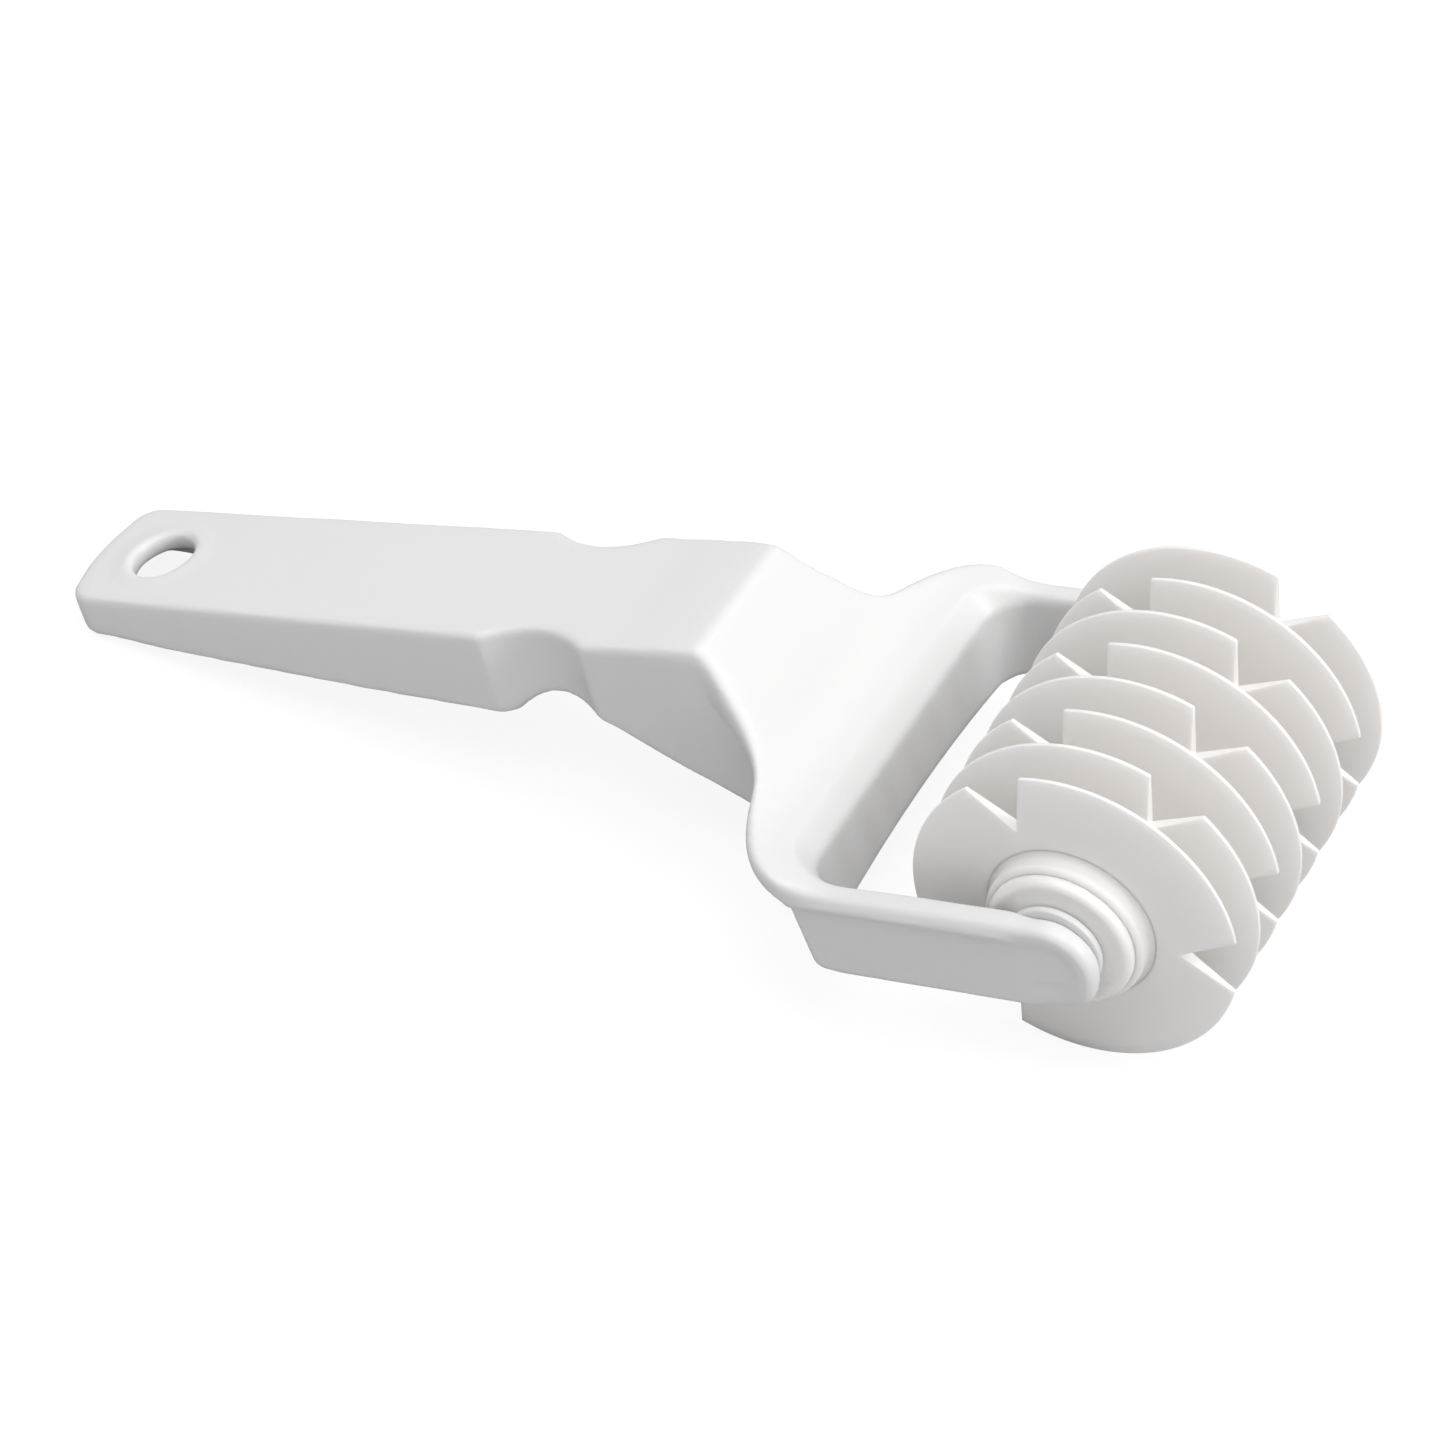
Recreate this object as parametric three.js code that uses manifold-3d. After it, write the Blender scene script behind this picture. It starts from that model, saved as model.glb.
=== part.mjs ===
// Lattice roller cutter: a stack of notched discs that turns in the fork of a hollow moulded handle.
// Millimetres. The tool is drawn with the roller's axle along Y through the origin, the handle towards -X and
// the handle's top upwards, and is then tilted so that the roller and the handle's end lie on Z = 0.
import * as THREE from 'three';
import { mergeVertices } from 'three/addons/utils/BufferGeometryUtils.js';
import Module from 'manifold-3d';

// Roller: discs and their notches
const discRadius = 25;
const discCount = 8;
const discPitch = 7.75;
const discHubThickness = 2;
const discRimThickness = 0.6;
const notchCount = 3;
const notchDepth = 8.5;
const notchAngle = THREE.MathUtils.degToRad(60);
const firstNotchAngle = THREE.MathUtils.degToRad(107);

// Roller: axle, spacers and end pieces
const axleKeyRadius = 6;
const axleKeySides = 6;
const journalRadius = 3.5;
const journalDepth = 3;
const spacerRadius = 9;
const flangeRadius = 13;
const flangeThickness = 3.1;
const flangeEdge = 0.7;
const capRadius = 11.2;
const capThickness = 1.75;
const capEdge = 0.8;

// Fits
const keyClearance = 0.15;
const journalClearance = 0.1;
const endPlay = 0.25;

// Fork
const bossRadius = 7.3;
const bossHeight = 0.8;
const armThickness = 4.5;
const armTopHeight = 6.7;
const armSlope = THREE.MathUtils.degToRad(2.05);
const armEndRadius = 7.35;
const armEndLead = 0.6;
const armBead = 3;
const armRecess = 1;
const crossbarGap = 14;
const crossbarWall = 2.6;
const crossbarRise = 2.4;
const crossbarLean = 0.8;
const armBackset = 1.5;
const armLean = 1.5;
const armCorner = 2;
const openingCorner = 6.5;
const lipDraft = 3.6;
const lipHeight = 4.8;

// Neck: its side profile, back from the crossbar's front face and up from the axle
const neckLength = 21.4;
const ridgeHeight = 29.9;
const rampFootBack = 10.5;
const rampFootHeight = 14.8;
const rampEase = 3.5;
const lipTopHeight = 9.5;
const lipFall = THREE.MathUtils.degToRad(20);
const lipEase = 5;
const lipLead = 2.5;
const armTopLead = 9;
const armTopEase = 5;
const roofThickness = 4;
const neckFootBack = 12.5;

// Neck: its plan outline, which flares from the handle's width to the arms
const neckHalfWidth = 13.3;
const flareAngle = THREE.MathUtils.degToRad(33);
const flareEase = 6.8;
const waistBack = 11.4;
const waistHalfWidth = 24.5;
const waistAngle = THREE.MathUtils.degToRad(80);
const waistEase = 7;
const shoulderLead = 0;
const shoulderEase = 7.6;

// Handle
const thumbRestLength = 20.9;
const thumbRestHalfWidth = 14.15;
const thumbRestDepth = 14;
const grooveLength = 18.3;
const grooveHalfWidth = 10.75;
const grooveLift = 5.6;
const grooveEase = 7;
const grooveLead = 2;
const gripLength = 80.6;
const gripFrontHalfWidth = 13.65;
const gripFrontDepth = 15.1;
const gripEndHalfWidth = 12.3;
const gripEndHeight = 27.6;
const gripEndDepth = 7.2;
const gripCorner = 4.5;
const gripEndBow = 1;
const heelRadius = 3;
const handleRoof = 3;
const handleWall = 2.4;
const hangHoleLength = 10.6;
const hangHoleWidth = 11.2;
const hangHoleFromEnd = 12.9;

// Facets: the discs' outlines, bores and small rings, drawn curves, rounded edges
const roundSteps = 60;
const boreSteps = 32;
const curveSteps = 10;
const edgeSteps = 3;

// Stations along the axle
const halfStack = ((discCount - 1) * discPitch + discHubThickness) / 2;
const flangeOuter = halfStack + flangeThickness;
const capOuter = flangeOuter + capThickness;
const bossFace = capOuter + endPlay;
const armInner = bossFace + bossHeight;
const armOuter = armInner + armThickness;
const journalEnd = bossFace + journalDepth;

// Stations back from the axle
const crossbarFront = -(discRadius + crossbarGap);
const crossbarBack = crossbarFront - crossbarWall;
const ridgeX = crossbarFront - neckLength;
const grooveFrontX = ridgeX - thumbRestLength;
const grooveBackX = grooveFrontX - grooveLength;
const gripEndX = grooveBackX - gripLength;
const hangHoleX = gripEndX + hangHoleFromEnd;

// The arms slope down to round ends. The middle of an end, and an arm's top and bottom at a place along X
const armFall = Math.tan(armSlope);
const armHalfHeight = armEndRadius / Math.cos(armSlope);
const armEnd = new THREE.Vector2(armEndLead, armTopHeight - armHalfHeight - armEndLead * armFall);
const armTopAt = (x) => armEnd.y + armHalfHeight - (x - armEnd.x) * armFall;
const armBottomAt = (x) => armTopAt(x) - 2 * armHalfHeight;

// Heights of the crossbar's lower edge, which is arched, and of the handle's top
const crossbarFoot = armBottomAt(crossbarFront);
const crossbarBottom = crossbarFoot + crossbarRise;
const gripTopSlope = (ridgeHeight - gripEndHeight) / (ridgeX - gripEndX);
const gripTopAt = (x) => gripEndHeight + (x - gripEndX) * gripTopSlope;

// Room that a cut runs past what it cuts
const past = 20;

const wasm = await Module();
wasm.setup();

// A closed geometry as a solid that can be joined and cut
function solid(geometry) {
  const bare = geometry.clone();
  bare.deleteAttribute('normal');
  bare.deleteAttribute('uv');
  const merged = mergeVertices(bare, 1e-4);
  const corners = merged.index.array;
  const kept = [];
  for (let i = 0; i < corners.length; i += 3) {
    const [a, b, c] = corners.slice(i, i + 3);
    if (a !== b && b !== c && c !== a) kept.push(a, b, c);
  }
  const vertProperties = new Float32Array(merged.attributes.position.array);
  return new wasm.Manifold(new wasm.Mesh({ numProp: 3, vertProperties, triVerts: new Uint32Array(kept) }));
}

function named(name, shape, material) {
  const data = shape.getMesh();
  const geometry = new THREE.BufferGeometry();
  geometry.setAttribute('position', new THREE.BufferAttribute(new Float32Array(data.vertProperties), 3));
  geometry.setIndex(new THREE.BufferAttribute(new Uint32Array(data.triVerts), 1));
  geometry.computeVertexNormals();
  const mesh = new THREE.Mesh(geometry, material);
  mesh.name = name;
  return mesh;
}

// A plan outline (x, y) raised from one height to another
function upright(shape, low, high, steps = curveSteps) {
  const options = { depth: high - low, bevelEnabled: false, curveSegments: steps };
  return solid(new THREE.ExtrudeGeometry(shape, options).translate(0, 0, low));
}

// A side outline (x, z) drawn out across the axle's direction
function sideways(shape, low, high, steps = curveSteps) {
  const options = { depth: high - low, bevelEnabled: false, curveSegments: steps };
  return solid(new THREE.ExtrudeGeometry(shape, options).rotateX(Math.PI / 2).translate(0, high, 0));
}

// A cross outline (y, z) drawn out along the tool
function lengthways(shape, low, high, steps = curveSteps) {
  const options = { depth: high - low, bevelEnabled: false, curveSegments: steps };
  const drawn = new THREE.ExtrudeGeometry(shape, options);
  return solid(drawn.rotateX(Math.PI / 2).rotateZ(Math.PI / 2).translate(low, 0, 0));
}

// A profile of [radius, y] turned about the axle
function turned(profile, steps = roundSteps) {
  const points = profile.map(([radius, y]) => new THREE.Vector2(radius, y));
  return solid(new THREE.LatheGeometry(points, steps));
}

// A plan outline that mirrors the given half outline (y > 0) across the tool's middle plane
function mirroredPlan(half) {
  const other = half.filter((p) => p.y > 0).map((p) => new THREE.Vector2(p.x, -p.y)).reverse();
  return new THREE.Shape([...half, ...other]);
}

const whitePlastic = () => new THREE.MeshStandardMaterial({ color: 0xf3f3f2, roughness: 0.32, metalness: 0 });
const palePlastic = () => new THREE.MeshStandardMaterial({ color: 0xece7e4, roughness: 0.4, metalness: 0 });

// Prism with the axle's key section, grown by a clearance across its flats
function keyPrism(length, clearance) {
  const radius = axleKeyRadius + clearance / Math.cos(Math.PI / axleKeySides);
  return solid(new THREE.CylinderGeometry(radius, radius, length, axleKeySides));
}

// A disc whose notches are turned from its keyed bore by the given angle
function cutterDisc(turn) {
  const hub = discHubThickness / 2;
  const rim = discRimThickness / 2;
  const shoulder = discRadius - notchDepth;
  const front = [[0, -hub], [shoulder, -hub], [discRadius, -rim]];
  const blade = turned([...front, [discRadius, rim], [shoulder, hub], [0, hub]]);
  const reach = notchDepth + past;
  const mouth = reach * Math.tan(notchAngle / 2);
  const vee = new THREE.Shape([
    new THREE.Vector2(shoulder, 0),
    new THREE.Vector2(shoulder + reach, mouth),
    new THREE.Vector2(shoulder + reach, -mouth),
  ]);
  let disc = blade.subtract(keyPrism(discHubThickness + past, keyClearance));
  const notch = sideways(vee, -past, past);
  for (let i = 0; i < notchCount; i += 1) {
    const angle = turn + (2 * Math.PI * i) / notchCount;
    disc = disc.subtract(notch.rotate([0, THREE.MathUtils.radToDeg(angle), 0]));
  }
  return disc;
}

function spacer() {
  const half = (discPitch - discHubThickness) / 2;
  const bore = axleKeyRadius + keyClearance;
  const loop = [[bore, -half], [spacerRadius, -half], [spacerRadius, half], [bore, half], [bore, -half]];
  return turned(loop, boreSteps);
}

// A ring whose outer rim is rounded at both edges, solid to the axis until it is bored
function roundedRing(radius, thickness, edge) {
  const half = thickness / 2;
  const profile = [[0, -half]];
  for (let i = 0; i <= edgeSteps; i += 1) {
    const turn = (Math.PI / 2) * (i / edgeSteps);
    profile.push([radius - edge + edge * Math.sin(turn), -half + edge - edge * Math.cos(turn)]);
  }
  for (let i = 0; i <= edgeSteps; i += 1) {
    const turn = (Math.PI / 2) * (i / edgeSteps);
    profile.push([radius - edge + edge * Math.cos(turn), half - edge + edge * Math.sin(turn)]);
  }
  profile.push([0, half]);
  return turned(profile, boreSteps);
}

function endFlange() {
  const ring = roundedRing(flangeRadius, flangeThickness, flangeEdge);
  return ring.subtract(keyPrism(flangeThickness + past, keyClearance));
}

function endCap() {
  const bore = journalRadius + journalClearance;
  const ring = roundedRing(capRadius, capThickness, capEdge);
  return ring.subtract(solid(new THREE.CylinderGeometry(bore, bore, capThickness + past, boreSteps)));
}

function axle() {
  const journals = solid(new THREE.CylinderGeometry(journalRadius, journalRadius, 2 * journalEnd, boreSteps));
  return keyPrism(2 * flangeOuter, 0).add(journals);
}

// The roof's side profile: the ridge, the ramp, the shoulders' slope and the arm's top
const along = (angle, length) => new THREE.Vector2(Math.cos(angle), Math.sin(angle)).multiplyScalar(length);
const ridge = new THREE.Vector2(ridgeX, ridgeHeight);
const rampFoot = new THREE.Vector2(crossbarFront - rampFootBack, rampFootHeight);
const lipTop = new THREE.Vector2(crossbarFront, lipTopHeight);
const armTop = new THREE.Vector2(crossbarFront + armTopLead, armTopAt(crossbarFront + armTopLead));
const rampAngle = rampFoot.clone().sub(ridge).angle();
const rampToLip = new THREE.CubicBezierCurve(
  rampFoot,
  rampFoot.clone().add(along(rampAngle, rampEase)),
  lipTop.clone().sub(along(-lipFall, lipEase)),
  lipTop,
).getPoints(curveSteps);
const lipToArm = new THREE.CubicBezierCurve(
  lipTop,
  lipTop.clone().add(along(-lipFall, lipLead)),
  armTop.clone().sub(along(-armSlope, armTopEase)),
  armTop,
).getPoints(curveSteps).slice(1);
const roofLine = [ridge, ...rampToLip, ...lipToArm];
const roofFall = lipTop.clone().sub(ridge).angle();
const inward = along(roofFall - Math.PI / 2, roofThickness);
const roofUnderside = roofLine.map((p) => p.clone().add(inward));

// Half the handle's plan outline, or the hollow's when it is set in by the wall
function handlePlan(inset, frontX) {
  const corner = gripCorner - inset;
  const endX = gripEndX + inset;
  const grooveMiddle = (grooveBackX + grooveFrontX) / 2;
  const grooveControl = 2 * grooveHalfWidth - (gripFrontHalfWidth + thumbRestHalfWidth) / 2;
  const cornerX = endX + gripEndBow + corner;
  const cornerY = gripEndHalfWidth - inset - corner;
  const half = new THREE.Path();
  half.moveTo(endX, 0);
  half.quadraticCurveTo(endX, cornerY / 2, cornerX - corner, cornerY);
  half.absarc(cornerX, cornerY, corner, Math.PI, Math.PI / 2, true);
  half.lineTo(grooveBackX, gripFrontHalfWidth - inset);
  half.quadraticCurveTo(grooveMiddle, grooveControl - inset, grooveFrontX, thumbRestHalfWidth - inset);
  half.lineTo(ridgeX, neckHalfWidth - inset);
  half.lineTo(frontX, neckHalfWidth - inset);
  return mirroredPlan(half.getPoints(curveSteps));
}

// The heel, a rounded lower corner at the handle's end, which the tool rests on
const heel = new THREE.Vector2(gripEndX + heelRadius, gripEndHeight - gripEndDepth + heelRadius);

function handleSide() {
  const neckFoot = new THREE.Vector2(crossbarFront - neckFootBack, crossbarBottom);
  const thumbRestFoot = new THREE.Vector2(grooveFrontX, gripTopAt(grooveFrontX) - thumbRestDepth);
  const neckFall = neckFoot.clone().sub(thumbRestFoot).angle();
  const archFront = thumbRestFoot.clone().add(along(neckFall, 2 * grooveLead));
  const archTop = archFront.clone().sub(along(neckFall, grooveEase));
  const archBack = new THREE.Vector2(grooveBackX + grooveLead, gripTopAt(grooveBackX) - gripFrontDepth);
  const archRise = archBack.clone().add(new THREE.Vector2(grooveEase, grooveLift));
  const side = new THREE.Shape([new THREE.Vector2(gripEndX, gripEndHeight), ridge, ...rampToLip]);
  side.lineTo(crossbarFront, crossbarBottom);
  side.lineTo(neckFoot.x, neckFoot.y);
  side.lineTo(archFront.x, archFront.y);
  side.bezierCurveTo(archTop.x, archTop.y, archRise.x, archRise.y, archBack.x, archBack.y);
  side.absarc(heel.x, heel.y, heelRadius, -Math.PI / 2, -Math.PI, true);
  return side;
}

// The hollow under the handle and neck, open below
function hollow() {
  const low = crossbarBottom - past;
  const endX = gripEndX + handleWall;
  const neckRoof = roofUnderside.filter((p) => p.x < crossbarBack);
  const side = new THREE.Shape([
    new THREE.Vector2(endX, low),
    new THREE.Vector2(endX, gripTopAt(endX) - handleRoof),
    ...neckRoof,
    new THREE.Vector2(crossbarBack, neckRoof.at(-1).y),
    new THREE.Vector2(crossbarBack, low),
  ]);
  const plan = upright(handlePlan(handleWall, crossbarBack), low, ridgeHeight);
  return plan.intersect(sideways(side, -armOuter, armOuter));
}

function handleShell() {
  const block = upright(handlePlan(0, crossbarFront), crossbarBottom - past, ridgeHeight + past);
  return block.intersect(sideways(handleSide(), -armOuter, armOuter)).subtract(hollow());
}

// The roof over the neck and shoulders, a plate that flares out to the arms
function roofPlate() {
  const waist = new THREE.Vector2(crossbarFront - waistBack, waistHalfWidth);
  const flare = new THREE.Path();
  flare.moveTo(ridgeX - roofThickness, neckHalfWidth);
  flare.lineTo(ridgeX, neckHalfWidth);
  const leave = new THREE.Vector2(ridgeX, neckHalfWidth).add(along(flareAngle, flareEase));
  const arrive = waist.clone().sub(along(waistAngle, waistEase));
  flare.bezierCurveTo(leave.x, leave.y, arrive.x, arrive.y, waist.x, waist.y);
  const depart = waist.clone().add(along(waistAngle, waistEase));
  const armX = crossbarFront + shoulderLead;
  flare.bezierCurveTo(depart.x, depart.y, armX - shoulderEase, armOuter, armX, armOuter);
  flare.lineTo(armTop.x, armOuter);
  const plan = upright(mirroredPlan(flare.getPoints(curveSteps)), -past, ridgeHeight + past);
  const band = new THREE.Shape([...roofLine, ...[...roofUnderside].reverse()]);
  return plan.intersect(sideways(band, -armOuter, armOuter));
}

// The crossbar, a wall that hangs from the roof's front edge between the arms and is arched below
function crossbar() {
  const reach = armInner + armRecess;
  const wall = new THREE.Shape([
    new THREE.Vector2(crossbarBack + crossbarLean, crossbarFoot),
    new THREE.Vector2(crossbarBack, lipTopHeight),
    lipTop,
    ...lipToArm,
    new THREE.Vector2(armTop.x, crossbarFoot),
  ]);
  const arch = new THREE.Shape();
  arch.moveTo(-armInner, crossbarFoot);
  arch.quadraticCurveTo(0, crossbarFoot + 2 * crossbarRise, armInner, crossbarFoot);
  arch.lineTo(armInner, crossbarFoot - past);
  arch.lineTo(-armInner, crossbarFoot - past);
  return sideways(wall, -reach, reach).subtract(lengthways(arch, crossbarBack - past, past));
}

// One of the two arms, on the side given by its sign
function arm(sign) {
  const backTop = crossbarFront - armBackset;
  const backFoot = backTop + armLean;
  const side = new THREE.Shape([lipTop, ...lipToArm]);
  const foot = armBottomAt(backFoot);
  side.absarc(armEnd.x, armEnd.y, armEndRadius, Math.PI / 2 - armSlope, -Math.PI / 2 - armSlope, true);
  side.lineTo(backFoot + armCorner, armBottomAt(backFoot + armCorner));
  side.quadraticCurveTo(backFoot, foot, backFoot, foot + armCorner);
  side.lineTo(backTop, armTopAt(backTop));
  side.lineTo(backTop, lipTopHeight);
  const faces = [sign * armInner, sign * armOuter];
  return sideways(side, Math.min(...faces), Math.max(...faces));
}

// The space for the roller between the arms. Above the crossbar's wall it widens as it rises.
function rollerSpace() {
  const front = armEnd.x + armEndRadius + past;
  const corner = openingCorner;
  const outline = new THREE.Shape();
  outline.moveTo(front, -armInner);
  outline.lineTo(front, armInner);
  outline.lineTo(crossbarFront + corner, armInner);
  outline.absarc(crossbarFront + corner, armInner - corner, corner, Math.PI / 2, Math.PI, false);
  outline.absarc(crossbarFront + corner, corner - armInner, corner, Math.PI, Math.PI * 1.5, false);
  const widening = new THREE.ExtrudeGeometry(outline, {
    depth: ridgeHeight,
    bevelThickness: lipHeight,
    bevelSize: lipDraft,
    bevelSegments: 1,
    curveSegments: curveSteps,
  });
  const well = upright(outline, armEnd.y - armEndRadius - past, armTopHeight + lipHeight / 2);
  return well.add(solid(widening.translate(0, 0, armTopHeight + lipHeight)));
}

// The panel in an arm's outer face, bounded by the bead along its top and round its end
function armPanel() {
  const back = crossbarBack - past;
  const low = armEnd.y - armEndRadius - past;
  const panel = new THREE.Shape();
  panel.moveTo(back, low);
  panel.lineTo(back, armTopAt(back) - armBead);
  panel.absarc(armEnd.x, armEnd.y, armEndRadius - armBead, Math.PI / 2 - armSlope, -Math.PI / 4, true);
  panel.lineTo(armEnd.x, low);
  return panel;
}

function ovalPrism(centreX, length, width, low, high) {
  const oval = new THREE.Shape();
  oval.absellipse(centreX, 0, length / 2, width / 2, 0, 2 * Math.PI);
  return upright(oval, low, high, boreSteps);
}

// The boss on the inner side of an arm that the roller's cap runs against, with a tapered root in the arm
function forkBoss() {
  const root = armInner + armThickness / 2;
  const rim = [[bossRadius, bossFace], [bossRadius, armInner]];
  return turned([[0, bossFace], ...rim, [journalRadius, root], [0, root]], boreSteps);
}

function handleFork() {
  const hole = ovalPrism(hangHoleX, hangHoleLength, hangHoleWidth, 0, gripTopAt(hangHoleX) + past);
  const socketRadius = journalRadius + journalClearance;
  const socketDepth = journalDepth + endPlay;
  const boss = forkBoss();
  let body = handleShell().add(roofPlate()).add(crossbar()).add(arm(-1)).add(arm(1));
  body = body.subtract(rollerSpace()).subtract(hole);
  for (const sign of [-1, 1]) {
    const socket = new THREE.CylinderGeometry(socketRadius, socketRadius, 2 * socketDepth, boreSteps);
    const panelDepth = armRecess + past;
    const panelFace = sign * (armOuter - armRecess + panelDepth / 2);
    body = body.add(sign > 0 ? boss : boss.rotate([180, 0, 0]));
    body = body.subtract(solid(socket.translate(0, sign * bossFace, 0)));
    body = body.subtract(sideways(armPanel(), panelFace - panelDepth / 2, panelFace + panelDepth / 2));
  }
  return body;
}

// The roller, turned until the first disc's first notch stands at its angle
const roller = new THREE.Group();
roller.rotation.y = -firstNotchAngle;
roller.add(named('axle', axle(), palePlastic()));

// Every second disc has its notches half a spacing on from its neighbours'
const discShapes = [cutterDisc(0), cutterDisc(Math.PI / notchCount)];
const spacerShape = spacer();
for (let i = 0; i < discCount; i += 1) {
  const disc = named(`cutter_disc_${i + 1}`, discShapes[i % discShapes.length], palePlastic());
  disc.position.y = (i - (discCount - 1) / 2) * discPitch;
  roller.add(disc);
}
for (let i = 1; i < discCount; i += 1) {
  const sleeve = named(`spacer_${i}`, spacerShape, palePlastic());
  sleeve.position.y = (i - discCount / 2) * discPitch;
  roller.add(sleeve);
}

for (const [end, side] of [['near', -1], ['far', 1]]) {
  const flange = named(`end_flange_${end}`, endFlange(), palePlastic());
  flange.position.y = side * (halfStack + flangeThickness / 2);
  const cap = named(`end_cap_${end}`, endCap(), palePlastic());
  cap.position.y = side * (flangeOuter + capThickness / 2);
  roller.add(flange, cap);
}

const tool = new THREE.Group();
tool.add(named('handle_fork', handleFork(), whitePlastic()), roller);

// Tilted until a line below touches both the discs and the heel, then set with its box's bottom at the origin
const heelReach = heel.length();
tool.rotation.y = heel.angle() - Math.PI - Math.asin((discRadius - heelRadius) / heelReach);
tool.updateMatrixWorld(true);
const box = new THREE.Box3().setFromObject(tool, true);
const centre = box.getCenter(new THREE.Vector3());
tool.position.set(-centre.x, -centre.y, -box.min.z);

const latticeRollerCutter = new THREE.Group();
latticeRollerCutter.name = 'lattice_roller_cutter';
latticeRollerCutter.add(tool);
latticeRollerCutter.updateMatrixWorld(true);

export default latticeRollerCutter;
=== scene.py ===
# %% [markdown]
# # A white plastic lattice roller cutter
# This tool rolls over pastry and cuts it into a lattice. Notched discs sit on one axle and turn in the
# fork of a hollow handle. Each cell below makes one piece or one finish, and says why it is made that
# way. The exact solids come from the CAD frame, which stays where it is. Blender adds the soft, moulded
# surface.

# %% Load the frame
import math

import bmesh
import bpy
import numpy as np
import openvdb
from mathutils import Euler, Matrix, Vector


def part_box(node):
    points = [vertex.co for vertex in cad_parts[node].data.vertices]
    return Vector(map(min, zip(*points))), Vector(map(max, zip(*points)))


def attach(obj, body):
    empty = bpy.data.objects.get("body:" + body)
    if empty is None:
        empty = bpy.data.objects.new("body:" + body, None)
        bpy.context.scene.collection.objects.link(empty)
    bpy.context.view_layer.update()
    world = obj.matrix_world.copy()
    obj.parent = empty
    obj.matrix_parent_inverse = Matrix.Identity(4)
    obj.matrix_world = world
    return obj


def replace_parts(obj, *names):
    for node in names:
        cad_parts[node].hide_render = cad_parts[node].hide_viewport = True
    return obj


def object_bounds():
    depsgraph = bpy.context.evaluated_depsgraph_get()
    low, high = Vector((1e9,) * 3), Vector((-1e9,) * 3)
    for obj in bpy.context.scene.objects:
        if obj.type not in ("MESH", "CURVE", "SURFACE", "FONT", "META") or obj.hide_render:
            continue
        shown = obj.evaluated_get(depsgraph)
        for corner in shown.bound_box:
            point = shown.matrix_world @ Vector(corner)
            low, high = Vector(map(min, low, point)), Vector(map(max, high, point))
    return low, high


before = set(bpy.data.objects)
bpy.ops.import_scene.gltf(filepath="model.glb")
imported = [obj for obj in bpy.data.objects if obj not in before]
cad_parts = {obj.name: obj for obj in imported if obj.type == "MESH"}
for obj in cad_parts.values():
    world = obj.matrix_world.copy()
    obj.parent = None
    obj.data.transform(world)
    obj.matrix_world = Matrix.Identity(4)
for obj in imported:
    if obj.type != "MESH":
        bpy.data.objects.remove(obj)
cad_low, cad_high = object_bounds()
MM = 0.001
print("CAD box in mm:", [round(side / MM, 1) for side in cad_high - cad_low])

# %% [markdown]
# ## Camera
# The photograph was taken from the roller's side, above the tool, with a long lens. The place was found
# by matching the circles of the roller's discs and the corners of the handle, and is given here as it
# came out: a point, a turn and a focal length. A long lens keeps the handle and the roller in
# proportion.

# %% Camera at the photograph's place
CAMERA_PLACE = Vector((0.2756, -0.4955, 0.5296))
CAMERA_TURN = Euler((math.radians(47.41), math.radians(1.594), math.radians(26.859)))
CAMERA_LENS_MM = 126.3
SENSOR_MM = 36.0

camera_data = bpy.data.cameras.new("camera")
camera_data.lens = CAMERA_LENS_MM
camera_data.sensor_width = SENSOR_MM
camera = bpy.data.objects.new("camera", camera_data)
camera.location = CAMERA_PLACE
camera.rotation_euler = CAMERA_TURN
bpy.context.scene.collection.objects.link(camera)
bpy.context.scene.camera = camera
print("camera distance in mm:", round(CAMERA_PLACE.length / MM))

# %% [markdown]
# ## Where the roller is
# Everything on the roller is placed from the CAD nodes, so that the new meshes lie exactly on the old
# ones. The axle's box gives the line that the roller turns about, and a disc's box gives its radius.

# %% Measure the roller
DISC_COUNT = 8
DISC_NAMES = [f"cutter_disc_{i}" for i in range(1, DISC_COUNT + 1)]
SPACER_NAMES = [f"spacer_{i}" for i in range(1, DISC_COUNT)]
axle_low, axle_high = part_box("axle")
AXLE = (axle_low + axle_high) / 2


def extent(cad_name, axis):
    """How far a CAD node reaches along one axis (0, 1 or 2), in metres."""
    low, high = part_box(cad_name)
    return high[axis] - low[axis]


def middle(cad_name):
    """The middle of a CAD node's box."""
    low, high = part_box(cad_name)
    return (low + high) / 2


DISC_RADIUS = extent(DISC_NAMES[0], 2) / 2
DISC_PITCH = middle(DISC_NAMES[1]).y - middle(DISC_NAMES[0]).y
DISC_HUB = extent(DISC_NAMES[0], 1)
disc_sizes = (DISC_RADIUS, DISC_PITCH, DISC_HUB)
print("disc radius, pitch and hub in mm:", [round(length / MM, 2) for length in disc_sizes])

# %% [markdown]
# ## Moulded plastic
# Moulded plastic is never one flat colour. The melt cools unevenly, which leaves a faint clouding, and
# the mould's steel leaves a very fine grain that breaks up the gloss. The two plastics here share both
# effects, so they are one node group with named inputs. Each material gives it its own values.

# %% Helpers for nodes
def node(tree, kind, **settings):
    """A new node of a kind, with some of its properties set."""
    made = tree.nodes.new(kind)
    for name, value in settings.items():
        setattr(made, name, value)
    return made


def feed(tree, socket, value):
    """Links a socket, or writes a plain value, into an input."""
    if isinstance(value, bpy.types.NodeSocket):
        tree.links.new(value, socket)
    else:
        socket.default_value = value


def found(tree, kind):
    """The node of a type that a new tree already holds."""
    return next(made for made in tree.nodes if made.type == kind)


# %% Node group for the moulded skin
CLOUD_DETAIL = 3.0
GRAIN_DETAIL = 2.0


def noise(tree, vector, scale, detail):
    """A noise value that changes with a position."""
    made = node(tree, "ShaderNodeTexNoise")
    feed(tree, made.inputs["Vector"], vector)
    feed(tree, made.inputs["Scale"], scale)
    feed(tree, made.inputs["Detail"], detail)
    return made.outputs["Fac"]


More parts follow.
